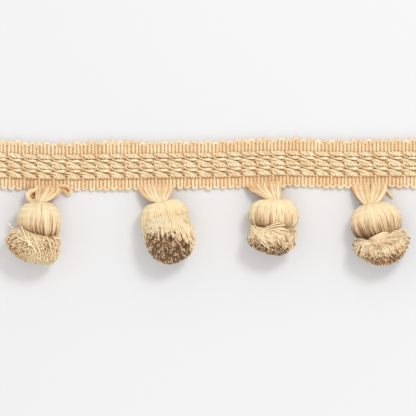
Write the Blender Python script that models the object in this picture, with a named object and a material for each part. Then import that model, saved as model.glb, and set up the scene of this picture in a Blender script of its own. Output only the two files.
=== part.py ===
"""A length of pompom fringe trim, lying on its back on a flat surface.

A woven heading with ribbed, looped edges carries five rows of laid cord. From its lower
edge, groups of yarn gather into necks, and from each neck hangs an onion-shaped tassel:
one bundle of thread, drawn in at the waist by a tie and cut below it to a pompom.

Metres, +X along the heading, +Y from the pompoms to the heading, +Z up from the surface.
"""

import math
import random

import bmesh
import bpy
from mathutils import Vector

MM = 0.001
UP = Vector((0.0, 0.0, 1.0))
GAP = 0.3 * MM  # between pieces that touch
SMOOTH_BELOW = math.radians(35)

# Heading: the weft makes ribs, and each pair of ribs ends in one edge loop.
RIB_PITCH = 1.7 * MM
RIBS_PER_REPEAT = 4
REPEAT = RIB_PITCH * RIBS_PER_REPEAT
REPEATS = 30
LENGTH = REPEAT * REPEATS
LOOP_REACH = 0.45 * MM
LOOP_UNEVENNESS = 0.3
RIB_TOP = 1.9 * MM
RIB_GROOVE = 1.25 * MM
BED_TOP = 1.1 * MM
STEPS_PER_RIB = 2
STEPS_PER_LOOP = 4

# Rows across the heading: distance from its lower edge in mm, what the row is.
HEADING_ROWS = (
    (0.0, "lower loops"),
    (0.9, "ribs"),
    (3.8, "ribs"),
    (4.2, "bed"),
    (16.2, "bed"),
    (16.6, "ribs"),
    (20.2, "ribs"),
    (21.1, "upper loops"),
)

# How the heading wanders as it lies: place along it in mm, drift across it in mm.
WANDER = (
    (-102.0, 0.0),
    (-72.0, -1.0),
    (-40.0, -0.6),
    (0.0, -0.1),
    (32.0, 0.9),
    (66.0, 0.3),
    (102.0, 0.6),
)

# Cord rows on the bed: name, distance of the row from the lower edge in mm, kind.
CORD_ROWS = (
    ("cord_row_1", 14.8, "knots"),
    ("cord_row_2", 12.5, "floats"),
    ("cord_row_3", 10.2, "knots"),
    ("cord_row_4", 7.9, "floats"),
    ("cord_row_5", 5.6, "knots"),
)
CORD_SEAT = BED_TOP + GAP
STRANDS_PER_REPEAT = 3
# Each kind of row: steps in a repeat, strand slant (shift along the row for each unit across it),
# how far a groove between strands lies below a strand, how much the ground's binding pinches it, and
# its section: place across the row in mm, height in mm, share of the repeat at which it is bound.
CORD_KINDS = {
    "knots": {
        "steps": 2 * STRANDS_PER_REPEAT,
        "slant": 1.0,
        "relief": 0.22,
        "pinch": 0.2,
        "section": ((-1.0, 0.0, 0.0), (-0.75, 2.0, 0.0), (0.75, 2.0, 0.0), (1.0, 0.0, 0.0)),
    },
    "floats": {
        "steps": 4,
        "slant": 0.0,
        "relief": 0.0,
        "pinch": 0.4,
        "section": (
            (-0.95, 0.0, 0.0), (-0.55, 1.35, 0.75), (0.0, 0.65, 0.0), (0.55, 1.35, 0.25), (0.95, 0.0, 0.0),
        ),
    },
}

# Tassels: all places in mm, x from the middle of the trim, y from the heading's lower edge.
# Pitch tips the pompom's axis up from the surface, and turn swings it sideways, in degrees.
TASSEL_COLUMNS = (
    "fan_left", "fan_right", "neck_x", "neck_y", "waist_x", "waist_y", "waist_z", "bulb_half_width",
    "pompom_x", "pompom_y", "pompom_half_width", "pompom_half_depth", "turn", "pitch",
)
TASSELS = tuple(
    dict(zip(TASSEL_COLUMNS, row))
    for row in (
        (-85.5, -68.2, -78.6, -6.0, -78.2, -21.2, 8.6, 9.7, -81.1, -27.2, 13.2, 8.7, -20.0, 6.0),
        (-32.3, -16.4, -22.2, -5.8, -19.8, -15.9, 6.5, 11.0, -17.3, -24.0, 12.3, 9.8, 18.0, 27.0),
        (17.8, 34.2, 28.6, -5.6, 31.4, -19.7, 8.6, 11.5, 30.4, -24.5, 12.5, 7.4, -4.0, 8.0),
        (67.1, 83.2, 74.4, -7.0, 79.6, -21.4, 8.6, 11.6, 80.1, -27.3, 13.4, 8.8, 6.0, 6.0),
    )
)

# Bulb of thread: share of the way from neck to waist, share of the widest radius.
BULB_PROFILE = ((0.0, 0.27), (0.07, 0.57), (0.24, 0.85), (0.5, 1.0), (0.76, 0.94), (0.91, 0.68))
BULB_GROOVE = 0.93
BULB_HALF_HEIGHT = 9.7 * MM
BULB_MIDDLE_HEIGHT = 9.4 * MM
NECK_HEIGHT = 7.6 * MM
WAIST_RADIUS = 2.3 * MM
WAIST_LENGTH = 1.8 * MM

# Cut pompom: a core of packed thread whose faces are drawn out into locks.
POMPOM_HALF_HEIGHT = 11.6 * MM
LOCK_LENGTH = 3.3 * MM
LOCK_UNEVENNESS = 0.9 * MM
LOCK_TAPER = 0.9
LOCK_LEAN = 0.12  # how far a lock strays from pointing straight out
LOCK_COLUMNS = 14
POMPOM_BANDS = (44.0, 70.0, 96.0, 122.0, 148.0)  # degrees round from the waist

# Waist tie: a few turns of thread.
TIE_THICKNESS = 0.8 * MM
TIE_SIDES = 5
TIE_STEPS = 14

# Fan of heading yarns that gathers into the neck.
FAN_YARNS = 10
GATHER_WIDTH = 7.6 * MM
GATHER_DEPTH = 3.4 * MM
GATHER_LENGTH = 1.2 * MM
GATHER_NECK_SHARE = 0.72
FAN_END_HEIGHT = 0.85 * MM
# Along a fan yarn: share of its length, width in mm, thickness in mm.
FAN_YARN_SECTIONS = ((0.35, 0.42, 1.0), (0.7, 0.6, 0.9), (1.0, 0.95, 0.85))

# Loose yarn at the lower edge: points in mm and the yarn's thickness.
LOOSE_YARN = 1.0 * MM
LOOSE_LOOP = (
    (-67.8, -1.55, 0.9), (-67.7, -3.0, 1.3), (-66.4, -3.9, 1.6), (-65.1, -3.0, 1.3), (-65.0, -1.55, 0.9),
)
LOOSE_END = ((85.0, -0.4, 0.8), (86.0, -1.6, 1.0), (86.9, -2.9, 0.8), (87.5, -4.2, 0.6))


def clear_scene():
    for obj in list(bpy.data.objects):
        bpy.data.objects.remove(obj)


def material(name, colour, roughness):
    made = bpy.data.materials.new(name)
    made.use_nodes = True
    shader = made.node_tree.nodes["Principled BSDF"]
    shader.inputs["Base Color"].default_value = (*colour, 1.0)
    shader.inputs["Roughness"].default_value = roughness
    shader.inputs["Metallic"].default_value = 0.0
    return made


def add_object(name, bm, finish, origin, parent):
    """A mesh object whose own origin is at `origin`, in the trim's coordinates."""
    bmesh.ops.recalc_face_normals(bm, faces=bm.faces)
    bmesh.ops.translate(bm, verts=bm.verts, vec=-origin)
    mesh = bpy.data.meshes.new(name)
    bm.to_mesh(mesh)
    bm.free()
    mesh.shade_smooth()
    mesh.set_sharp_from_angle(angle=SMOOTH_BELOW)
    mesh.materials.append(finish)
    obj = bpy.data.objects.new(name, mesh)
    bpy.context.scene.collection.objects.link(obj)
    obj.location = origin
    obj.parent = parent
    return obj


def wander(x):
    """The heading's drift across its length, eased between the table's places and straight in a repeat."""
    place = min(max(x / MM, WANDER[0][0]), WANDER[-1][0])
    for (left, low), (right, high) in zip(WANDER, WANDER[1:]):
        if place <= right:
            share = (place - left) / (right - left)
            return (low + (high - low) * share * share * (3 - 2 * share)) * MM
    return WANDER[-1][1] * MM


def quads_between(bm, first, second):
    """Faces between two rings of as many vertices."""
    count = len(first)
    for k in range(count):
        after = (k + 1) % count
        bm.faces.new((first[k], first[after], second[after], second[k]))


def heading(finish, parent):
    """The woven tape: rib and groove columns, drawn out to a loop over each pair of ribs."""
    dice = random.Random(7)
    steps = REPEATS * RIBS_PER_REPEAT * STEPS_PER_RIB
    bm = bmesh.new()
    columns = []
    for step in range(steps + 1):
        x = -LENGTH / 2 + step * RIB_PITCH / STEPS_PER_RIB
        if step % STEPS_PER_LOOP == 0:
            reach = {"lower loops": 0.0, "upper loops": 0.0}
        elif step % STEPS_PER_LOOP == 1:
            reach["lower loops"] = -LOOP_REACH * (1 + LOOP_UNEVENNESS * dice.uniform(-1, 1))
            reach["upper loops"] = LOOP_REACH * (1 + LOOP_UNEVENNESS * dice.uniform(-1, 1))
        top = {"ribs": RIB_TOP if step % STEPS_PER_RIB else RIB_GROOVE, "bed": BED_TOP}
        column = []
        for distance, kind in HEADING_ROWS:
            y = wander(x) + distance * MM + reach.get(kind, 0.0)
            column.append(bm.verts.new((x, y, top.get(kind, 0.0))))
        columns.append(column)
    for left, right in zip(columns, columns[1:]):
        for row in range(len(HEADING_ROWS) - 1):
            bm.faces.new((left[row], right[row], right[row + 1], left[row + 1]))
    bm.faces.new(columns[0])
    bm.faces.new(columns[-1])
    lower = [column[0] for column in columns]
    upper = [column[-1] for column in columns]
    bm.faces.new(lower + upper[::-1])
    return add_object("heading", bm, finish, Vector((0.0, 0.0, 0.0)), parent)


def cord_row(name, distance, kind, finish, parent):
    """One row of laid cord on a flat foot: strands or floats, pinched where the ground binds them."""
    steps = kind["steps"] * REPEATS
    bm = bmesh.new()
    rings = []
    for step in range(steps + 1):
        x = -LENGTH / 2 + step * REPEAT / kind["steps"]
        y = wander(x) + distance * MM
        lean = kind["slant"] * min(1.0, step / kind["steps"], (steps - step) / kind["steps"])
        strand = 1.0 if step % 2 else 1.0 - kind["relief"]
        ring = []
        for across, height, bound_at in kind["section"]:
            bound = (1 + math.cos(math.tau * (step / kind["steps"] - bound_at))) / 2
            rise = height * strand * (1 - kind["pinch"] * bound)
            ring.append(bm.verts.new((x - lean * across * MM, y + across * MM, CORD_SEAT + rise * MM)))
        rings.append(ring)
    for first, second in zip(rings, rings[1:]):
        quads_between(bm, first, second)
    bm.faces.new(rings[0])
    bm.faces.new(rings[-1])
    return add_object(name, bm, finish, Vector((0.0, distance * MM, CORD_SEAT)), parent)


def axes_across(axis):
    """Two unit vectors square to an axis: one level with the surface, one lifted from it."""
    side = axis.cross(UP).normalized()
    return side, side.cross(axis).normalized()


def above_surface(root, tip):
    """The tip, or where the line from its root meets the surface that the trim lies on."""
    if tip.z >= 0:
        return tip
    return root + (tip - root) * (root.z / (root.z - tip.z))


def ring(bm, centre, axis, half_width, half_height, count, groove=1.0):
    """A ring of vertices round an axis, alternating ridge and groove, flat where it lies down."""
    side, lift = axes_across(axis)
    made = []
    for k in range(count):
        angle = math.tau * k / count
        ridge = groove if k % 2 else 1.0
        point = centre + side * (half_width * ridge * math.cos(angle))
        point += lift * (half_height * ridge * math.sin(angle))
        point.z = max(point.z, 0.0)
        made.append(bm.verts.new(point))
    return made


def tassel_places(row):
    """Where a tassel's neck, waist and pompom are, and which way its bulb, waist and pompom point."""
    turn, pitch = math.radians(row["turn"]), math.radians(row["pitch"])
    level = math.cos(pitch)
    half_depth = row["pompom_half_depth"] * MM
    half_height = math.hypot(POMPOM_HALF_HEIGHT * level, half_depth * math.sin(pitch))
    neck = Vector((row["neck_x"] * MM, row["neck_y"] * MM, NECK_HEIGHT))
    waist = Vector((row["waist_x"] * MM, row["waist_y"] * MM, row["waist_z"] * MM))
    bulb_axis = (waist - neck).normalized()
    pompom_axis = Vector((math.sin(turn) * level, -math.cos(turn) * level, math.sin(pitch)))
    return {
        "neck": neck,
        "waist": waist,
        "pompom": Vector((row["pompom_x"] * MM, row["pompom_y"] * MM, half_height - GAP)),
        "bulb_axis": bulb_axis,
        "waist_axis": (bulb_axis + pompom_axis).normalized(),
        "pompom_axis": pompom_axis,
    }


def bulb_centre(neck, waist, share):
    """A point on the bulb's line from neck to waist, which arches so that the bulb lies on the surface."""
    point = neck.lerp(waist, share)
    point.z += 4 * share * (1 - share) * (BULB_MIDDLE_HEIGHT - (neck.z + waist.z) / 2)
    return point


def draw_locks(bm, faces, centre, dice):
    """Draws each face out into a cut lock that tapers a little and strays a little."""
    for face in faces:
        middle = face.calc_center_median()
        stray = Vector([dice.uniform(-LOCK_LEAN, LOCK_LEAN) for _ in range(3)])
        lean = ((middle - centre).normalized() + stray).normalized()
        length = LOCK_LENGTH + LOCK_UNEVENNESS * dice.uniform(-1, 0.4)
        tip = bmesh.ops.extrude_discrete_faces(bm, faces=[face])["faces"][0]
        for vert in tip.verts:
            root = vert.co.copy()
            end = middle + (root - middle) * LOCK_TAPER + lean * length
            vert.co = above_surface(root, end)


def draw_bulb(bm, row, places):
    """The onion bulb from neck to waist; returns its last ring, at the waist."""
    count = 2 * LOCK_COLUMNS
    rings = []
    for share, width in BULB_PROFILE:
        centre = bulb_centre(places["neck"], places["waist"], share)
        groove = BULB_GROOVE if share > 0.0 else 1.0
        half_width = row["bulb_half_width"] * MM * width
        half_height = BULB_HALF_HEIGHT * width
        rings.append(ring(bm, centre, places["bulb_axis"], half_width, half_height, count, groove))
    rings.append(ring(bm, places["waist"], places["waist_axis"], WAIST_RADIUS, WAIST_RADIUS, count))
    bm.faces.new(rings[0])
    for first, second in zip(rings, rings[1:]):
        quads_between(bm, first, second)
    return rings[-1]


def draw_waist(bm, places, last):
    """The waist, with half as many sides at its end; returns the ring there."""
    axis = places["waist_axis"]
    end = places["waist"] + axis * WAIST_LENGTH
    flare = ring(bm, end, axis, WAIST_RADIUS, WAIST_RADIUS, LOCK_COLUMNS)
    for k in range(LOCK_COLUMNS):
        after = (k + 1) % LOCK_COLUMNS
        bm.faces.new((last[2 * k], last[2 * k + 1], flare[k]))
        bm.faces.new((last[2 * k + 1], last[2 * after], flare[after], flare[k]))
    return flare


def draw_pompom(bm, row, places, flare, dice):
    """The pompom's core from the waist on, with its outer faces drawn out into locks."""
    middle, axis = places["pompom"], places["pompom_axis"]
    core_width = row["pompom_half_width"] * MM - LOCK_LENGTH
    core_height = POMPOM_HALF_HEIGHT - LOCK_LENGTH
    core_depth = row["pompom_half_depth"] * MM - LOCK_LENGTH
    bands = []
    for degrees in POMPOM_BANDS:
        angle = math.radians(degrees)
        centre = middle - axis * (core_depth * math.cos(angle))
        width, height = core_width * math.sin(angle), core_height * math.sin(angle)
        bands.append(ring(bm, centre, axis, width, height, LOCK_COLUMNS))
    quads_between(bm, flare, bands[0])
    inner = set(bm.faces)
    for first, second in zip(bands, bands[1:]):
        quads_between(bm, first, second)
    pole = bm.verts.new(middle + axis * core_depth)
    rim = bands[-1]
    for k in range(0, LOCK_COLUMNS, 2):
        bm.faces.new((pole, rim[k], rim[k + 1], rim[(k + 2) % LOCK_COLUMNS]))
    bmesh.ops.recalc_face_normals(bm, faces=bm.faces)
    draw_locks(bm, [face for face in bm.faces if face not in inner], middle, dice)


def tassel_bundle(name, row, finish, parent, seed):
    """The onion bulb, the waist and the cut pompom, which are one bundle of thread."""
    places = tassel_places(row)
    bm = bmesh.new()
    last = draw_bulb(bm, row, places)
    flare = draw_waist(bm, places, last)
    draw_pompom(bm, row, places, flare, random.Random(seed))
    return add_object(name, bm, finish, places["neck"], parent)


def waist_tie(name, row, finish, parent):
    """The turns of thread that draw the bundle in, as one ring in the waist."""
    places = tassel_places(row)
    waist_axis = places["waist_axis"]
    side, lift = axes_across(waist_axis)
    middle = places["waist"] + waist_axis * (WAIST_LENGTH / 2)
    half = TIE_THICKNESS / 2
    bm = bmesh.new()
    spokes = []
    for step in range(TIE_STEPS):
        angle = math.tau * step / TIE_STEPS
        spoke = side * math.cos(angle) + lift * math.sin(angle)
        centre = middle + spoke * (WAIST_RADIUS + GAP + half)
        section = []
        for k in range(TIE_SIDES):
            corner = math.tau * k / TIE_SIDES
            offset = spoke * (half * math.cos(corner)) + waist_axis * (half * math.sin(corner))
            section.append(bm.verts.new(centre + offset))
        spokes.append(section)
    for step in range(TIE_STEPS):
        quads_between(bm, spokes[step], spokes[(step + 1) % TIE_STEPS])
    return add_object(name, bm, finish, middle, parent)


def fan_yarn_end(row, index):
    """Where a fan yarn meets the heading's lower edge."""
    share = (index + 0.5) / FAN_YARNS
    x = (row["fan_left"] + share * (row["fan_right"] - row["fan_left"])) * MM
    y = wander(x) - LOOP_REACH * (1 + LOOP_UNEVENNESS) - GAP
    return Vector((x, y, FAN_END_HEIGHT))


def facing(vector, like):
    """The vector, or its opposite, whichever points more the way of `like`."""
    return vector if vector.dot(like) >= 0 else -vector


def draw_yarn(bm, face, side, lift, end):
    """Draws a face of the gather out along a curve to the heading's edge."""
    start = face.calc_center_median()
    bend = Vector((start.x * 0.35 + end.x * 0.65, start.y * 0.35 + end.y * 0.65, start.z * 0.7))
    for share, width, thickness in FAN_YARN_SECTIONS:
        centre = start.lerp(bend, share).lerp(bend.lerp(end, share), share)
        along = (start.lerp(bend, share) - bend.lerp(end, share)).normalized()
        across = facing(UP.cross(along).normalized(), side)
        normal = facing(across.cross(along).normalized(), lift)
        middle = face.calc_center_median()
        face = bmesh.ops.extrude_discrete_faces(bm, faces=[face])["faces"][0]
        for vert in face.verts:
            corner = vert.co - middle
            to_side = facing(across, across * corner.dot(side)) * (width * MM / 2)
            to_top = facing(normal, normal * corner.dot(lift)) * (thickness * MM / 2)
            vert.co = centre + to_side + to_top
        side, lift = across, normal


def fan(name, row, finish, parent):
    """The heading yarns that gather into the neck: a small knot with the yarns drawn out of it."""
    places = tassel_places(row)
    back_along = -places["bulb_axis"]
    side, lift = axes_across(back_along)
    foot = places["neck"] + back_along * GAP
    bm = bmesh.new()
    bmesh.ops.create_grid(bm, x_segments=FAN_YARNS, y_segments=1, size=0.5)
    yarn_faces = list(bm.faces)
    rim = [edge for edge in bm.edges if edge.is_boundary]
    drawn = bmesh.ops.extrude_edge_only(bm, edges=rim)["geom"]
    neck_verts = [item for item in drawn if isinstance(item, bmesh.types.BMVert)]
    neck_edges = [item for item in drawn if isinstance(item, bmesh.types.BMEdge)]
    for vert in neck_verts:
        vert.co *= GATHER_NECK_SHARE
    bmesh.ops.edgeloop_fill(bm, edges=neck_edges)
    for vert in bm.verts:
        back = 0.0 if vert in neck_verts else GATHER_LENGTH
        across = side * (vert.co.x * GATHER_WIDTH) + lift * (vert.co.y * GATHER_DEPTH)
        vert.co = foot + back_along * back + across

    yarn_faces.sort(key=lambda face: face.calc_center_median().x)
    for index, face in enumerate(yarn_faces):
        draw_yarn(bm, face, side, lift, fan_yarn_end(row, index))
    return add_object(name, bm, finish, places["neck"], parent)


def loose_yarn(name, points, finish, parent):
    """A stray yarn as a smooth tube through a few points."""
    curve = bpy.data.curves.new(name, "CURVE")
    curve.dimensions = "3D"
    curve.resolution_u = 4
    curve.bevel_depth = LOOSE_YARN / 2
    curve.bevel_resolution = 1
    curve.use_fill_caps = True
    spline = curve.splines.new("NURBS")
    spline.points.add(len(points) - 1)
    origin = Vector(points[0]) * MM
    for point, place in zip(spline.points, points):
        point.co = (*(Vector(place) * MM - origin), 1.0)
    spline.order_u = 3
    spline.use_endpoint_u = True
    curve.materials.append(finish)
    obj = bpy.data.objects.new(name, curve)
    bpy.context.scene.collection.objects.link(obj)
    obj.location = origin
    obj.parent = parent
    return obj


def centre_on_origin(trim, pieces):
    """Moves the trim so that the origin is under the middle of its bounding box."""
    bpy.context.view_layer.update()
    graph = bpy.context.evaluated_depsgraph_get()
    corners = []
    for piece in pieces:
        evaluated = piece.evaluated_get(graph)
        mesh = evaluated.to_mesh()
        corners += [evaluated.matrix_world @ vert.co for vert in mesh.vertices]
        evaluated.to_mesh_clear()
    low = Vector([min(corner[axis] for corner in corners) for axis in range(3)])
    high = Vector([max(corner[axis] for corner in corners) for axis in range(3)])
    trim.location = Vector((-(low.x + high.x) / 2, -(low.y + high.y) / 2, -low.z))


def main():
    clear_scene()
    ground_yarn = material("ground_cotton", (0.80, 0.55, 0.31), 0.8)
    cord_yarn = material("laid_cord", (0.82, 0.60, 0.35), 0.6)
    tassel_thread = material("tassel_thread", (0.88, 0.69, 0.41), 0.5)
    trim = bpy.data.objects.new("trim", None)
    bpy.context.scene.collection.objects.link(trim)

    pieces = [heading(ground_yarn, trim)]
    for name, distance, kind in CORD_ROWS:
        pieces.append(cord_row(name, distance, CORD_KINDS[kind], cord_yarn, trim))
    for number, row in enumerate(TASSELS, start=1):
        pieces.append(fan(f"tassel_{number}_fan", row, tassel_thread, trim))
        pieces.append(tassel_bundle(f"tassel_{number}_bundle", row, tassel_thread, trim, number))
        pieces.append(waist_tie(f"tassel_{number}_tie", row, tassel_thread, trim))
    pieces.append(loose_yarn("loose_loop", LOOSE_LOOP, tassel_thread, trim))
    pieces.append(loose_yarn("loose_end", LOOSE_END, tassel_thread, trim))
    centre_on_origin(trim, pieces)


main()
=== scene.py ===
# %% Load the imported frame
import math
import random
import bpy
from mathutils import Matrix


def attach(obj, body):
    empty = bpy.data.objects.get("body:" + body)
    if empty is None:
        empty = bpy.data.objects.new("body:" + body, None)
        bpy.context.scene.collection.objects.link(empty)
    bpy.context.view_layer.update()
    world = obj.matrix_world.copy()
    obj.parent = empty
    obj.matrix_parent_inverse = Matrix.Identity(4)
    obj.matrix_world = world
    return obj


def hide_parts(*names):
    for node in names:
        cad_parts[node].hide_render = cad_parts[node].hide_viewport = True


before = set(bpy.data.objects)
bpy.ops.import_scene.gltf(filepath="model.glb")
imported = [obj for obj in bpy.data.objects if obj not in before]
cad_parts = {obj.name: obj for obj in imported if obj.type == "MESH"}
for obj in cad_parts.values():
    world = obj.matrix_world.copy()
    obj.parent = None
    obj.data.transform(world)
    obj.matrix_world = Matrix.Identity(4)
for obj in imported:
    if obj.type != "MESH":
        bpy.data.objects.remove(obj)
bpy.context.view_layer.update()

# %% [markdown]
# A pompom fringe is a flat woven heading with cut yarn tassels hung along its lower edge. The heading
# lies flat, and every tassel is a bundle of thread: a neck gathered out of the heading, an onion-shaped
# head, a tied waist and a cut, fluffed pompom. Everything here is yarn, so nearly every piece is made the
# same way: a line through a few points, given a thickness. The lines are worked out in millimetres, x from
# the middle of the trim, y from the heading's lower edge and z up from the surface it lies on.

# %% Tools and the trim's own measures
from types import SimpleNamespace

import bmesh
import bpy
import numpy as np
from mathutils import Vector

MM = 0.001
FRAME_Y = 7.0963  # mm from the heading's lower edge to the middle of the frame
HALF_LENGTH = 102.0
RIB_PITCH = 1.7
REPEAT = 4 * RIB_PITCH
FIRST_RIB = 16.15 - 69 * RIB_PITCH  # the ribs' places along the trim
RIB_COUNT = 120
TAPE_TOP = 1.15
# How the heading wanders as it lies: x along the trim and the sideways drift there, in mm.
WANDER = ((-102, 0.0), (-72, -1.0), (-40, -0.6), (0, -0.1), (32, 0.9), (66, 0.3), (102, 0.6))


def mix(a, b, share):
    return a + (b - a) * share


def ease(share):
    share = min(max(share, 0.0), 1.0)
    return share * share * (3 - 2 * share)


def wander(x):
    for (x0, y0), (x1, y1) in zip(WANDER, WANDER[1:]):
        if x <= x1:
            return mix(y0, y1, ease((x - x0) / (x1 - x0)))
    return WANDER[-1][1]


def smooth(points, steps):
    """Points on a smooth line through the given ones, with everything else they carry eased too."""
    ends = [points[0], *points, points[-1]]
    line = []
    for a, b, c, d in zip(ends, ends[1:], ends[2:], ends[3:]):
        for step in range(steps):
            t = step / steps
            line.append(tuple(
                0.5 * (2 * q + (r - p) * t + (2 * p - 5 * q + 4 * r - s) * t * t
                       + (3 * q - p - 3 * r + s) * t ** 3)
                for p, q, r, s in zip(a, b, c, d)))
    return [*line, tuple(points[-1])]


print("trim:", 2 * HALF_LENGTH, "mm long,", RIB_COUNT, "ribs")

# %% [markdown]
# The camera looks straight down from far away, as through a long lens, so that the trim is seen without
# perspective. A soft light stands to the upper right and throws the shadows. A wider, weaker one on the
# tassels' side lights their cut ends, and a bright room fills the rest.

# %% Camera, lights and the bright room
CAMERA_HEIGHT = 3.0
VIEW_WIDTH = 193.2  # mm across the view, at the height of VIEW_PLANE
VIEW_CENTRE_Y = -2.38
VIEW_PLANE = 4.0  # mm above the surface
SENSOR_WIDTH = 36.0
ROOM_BRIGHTNESS = 0.85

scene = bpy.context.scene
scene.view_settings.view_transform = "Standard"
lens = bpy.data.cameras.new("camera")
lens.sensor_width = SENSOR_WIDTH
lens.lens = SENSOR_WIDTH * (CAMERA_HEIGHT - VIEW_PLANE * MM) / (VIEW_WIDTH * MM)
lens.clip_end = 20.0
camera = bpy.data.objects.new("camera", lens)
camera.location = (0.0, VIEW_CENTRE_Y * MM, CAMERA_HEIGHT)
scene.collection.objects.link(camera)
scene.camera = camera

world = bpy.data.worlds.new("bright_room")
world.use_nodes = True
room = world.node_tree.nodes["Background"].inputs
room["Color"].default_value = (1.0, 1.0, 1.0, 1.0)
room["Strength"].default_value = ROOM_BRIGHTNESS
scene.world = world


def soft_light(name, place, size, watts):
    """A round light that looks at the trim. Its place and size are in metres."""
    lamp = bpy.data.lights.new(name, "AREA")
    lamp.shape = "DISK"
    lamp.size = size
    lamp.energy = watts
    light = bpy.data.objects.new(name, lamp)
    light.location = place
    light.rotation_euler = (-Vector(place)).to_track_quat("-Z", "Y").to_euler()
    scene.collection.objects.link(light)


soft_light("key_light", (0.42, 0.62, 1.15), 0.36, 6.2)
soft_light("fill_light", (0.1, -1.0, 0.8), 0.9, 2.4)
print("camera looks down from", CAMERA_HEIGHT, "m")

# %% [markdown]
# Colours are written as the hex values that a paint shop or a colour picker would give, and one function
# turns them into the linear values that Blender's shaders expect. One more adds a node to a material, with
# its settings, its links and a colour ramp's stops, so that each finish reads as a short list.


# %% Helpers for the finishes
def paint(hex_colour):
    """An sRGB hex colour as linear red, green, blue and alpha."""
    parts = [int(hex_colour[k:k + 2], 16) / 255 for k in (1, 3, 5)]
    return (*(c / 12.92 if c <= 0.04045 else ((c + 0.055) / 1.055) ** 2.4 for c in parts), 1.0)


def add_node(tree, kind, inputs=(), stops=(), **settings):
    """Adds a node with its settings, links and stops. A node as an input stands for its first output."""
    node = tree.nodes.new(kind)
    for name, value in settings.items():
        setattr(node, name, value)
    for name, value in dict(inputs).items():
        if isinstance(value, bpy.types.Node):
            value = value.outputs[0]
        if isinstance(value, bpy.types.NodeSocket):
            tree.links.new(value, node.inputs[name])
        else:
            node.inputs[name].default_value = value
    if stops:
        ramp = node.color_ramp.elements
        while len(ramp) < len(stops):
            ramp.new(0.5)
        for element, (place, hex_colour) in zip(ramp, stops):
            element.position = place
            element.color = paint(hex_colour)
    return node


def new_finish(name):
    """A material with an empty node tree."""
    made = bpy.data.materials.new(name)
    made.use_nodes = True
    made.node_tree.nodes.clear()
    return made, made.node_tree


# %% [markdown]
# Yarn is a few plies twisted together, and each ply is a bundle of fine fibres. To the eye that gives
# slanting grooves, thin streaks along them and a soft halo of loose fibre at the edge, which is what
# Sheen is for. The grooves are also painted darker in the colour, as painted shade between the plies.
# Every yarn carries two values of its own: "along", the millimetres from its start, and "tone", from 0,
# dark, to 1, bright. Tone holds each yarn's own differences of colour, and also the painted shade where a
# yarn dives under others, lies in a fold or a gap, or turns away from the light. The twist is drawn in real
# millimetres from "along" and from how far round the yarn a point is, which its UV map knows. Real
# fibres and real twist are too fine to show in the render. So the streaks and the twist are drawn as coarse
# as they need to show: a real two-ply rib turns about once in 2 mm, and here one turn takes 2.6 mm.

# %% Yarn finish
PLIES = 2
STREAKS = 0.35  # how much the fibres vary the tone


def yarn_finish(name, colours, twist, groove_shade, roughness=0.62, sheen=0.3):
    """Twisted yarn. The colours run from dark to light, and the twist is mm for one full turn."""
    made, tree = new_finish(name)
    tone = add_node(tree, "ShaderNodeAttribute", attribute_name="tone").outputs["Fac"]
    along = add_node(tree, "ShaderNodeAttribute", attribute_name="along").outputs["Fac"]
    place = add_node(tree, "ShaderNodeUVMap", uv_map="UVMap")
    around = add_node(tree, "ShaderNodeSeparateXYZ", {0: place}).outputs["Y"]
    turns = add_node(tree, "ShaderNodeMath", {0: along, 1: 1 / twist, 2: around}, operation="MULTIPLY_ADD")
    phase = add_node(tree, "ShaderNodeMath", {0: turns, 1: math.pi * PLIES}, operation="MULTIPLY")
    wave = add_node(tree, "ShaderNodeMath", {0: phase}, operation="SINE")
    ply = add_node(tree, "ShaderNodeMath", {0: wave}, operation="ABSOLUTE")
    fibre_place = add_node(tree, "ShaderNodeCombineXYZ", {"X": along, "Y": turns, "Z": tone})
    fibre_scale = add_node(tree, "ShaderNodeMapping", {"Vector": fibre_place, "Scale": (0.35, 7.0, 40.0)})
    fibre = add_node(tree, "ShaderNodeTexNoise", {"Vector": fibre_scale, "Scale": 1.0, "Detail": 3.0})
    streaked = add_node(tree, "ShaderNodeMath", {0: fibre, 1: STREAKS, 2: tone}, operation="MULTIPLY_ADD")
    # The ply grooves darken the colour: painted shade between the plies.
    shade = add_node(tree, "ShaderNodeMath", {0: ply, 1: groove_shade, 2: streaked}, operation="MULTIPLY_ADD")
    level = add_node(tree, "ShaderNodeMath", {0: shade, 1: groove_shade + STREAKS / 2},
                     operation="SUBTRACT", use_clamp=True)
    colour = add_node(tree, "ShaderNodeValToRGB", {"Fac": level}, stops=colours)
    height = add_node(tree, "ShaderNodeMath", {0: fibre, 1: 0.4, 2: ply}, operation="MULTIPLY_ADD")
    relief = add_node(tree, "ShaderNodeBump", {"Height": height, "Strength": 0.7, "Distance": 0.08 * MM})
    surface = add_node(tree, "ShaderNodeBsdfPrincipled", {
        "Base Color": colour, "Roughness": roughness, "IOR": 1.5, "Sheen Weight": sheen,
        "Sheen Roughness": 0.45, "Sheen Tint": paint("#FFE9C8"), "Normal": relief})
    add_node(tree, "ShaderNodeOutputMaterial", {"Surface": surface})
    return made


RIB_COLOURS = ((0.0, "#C88F5C"), (0.35, "#E9C290"), (0.7, "#F7E2BA"), (1.0, "#FFF7E4"))
CORD_COLOURS = ((0.0, "#B07C4A"), (0.3, "#DBB483"), (0.62, "#F0DAAF"), (1.0, "#FDF2DC"))
THREAD_COLOURS = ((0.0, "#6E5034"), (0.25, "#B8916C"), (0.5, "#E8C99F"), (0.75, "#FAE3B6"), (1.0, "#FFEEC8"))
PILE_COLOURS = ((0.0, "#67482F"), (0.25, "#B58B65"), (0.5, "#E9C49A"), (0.75, "#FCE1B3"), (1.0, "#FFEDC8"))
FAN_COLOURS = ((0.0, "#AA6A38"), (0.35, "#D9AC7A"), (0.7, "#EED5A8"), (1.0, "#FFF0D0"))

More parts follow.
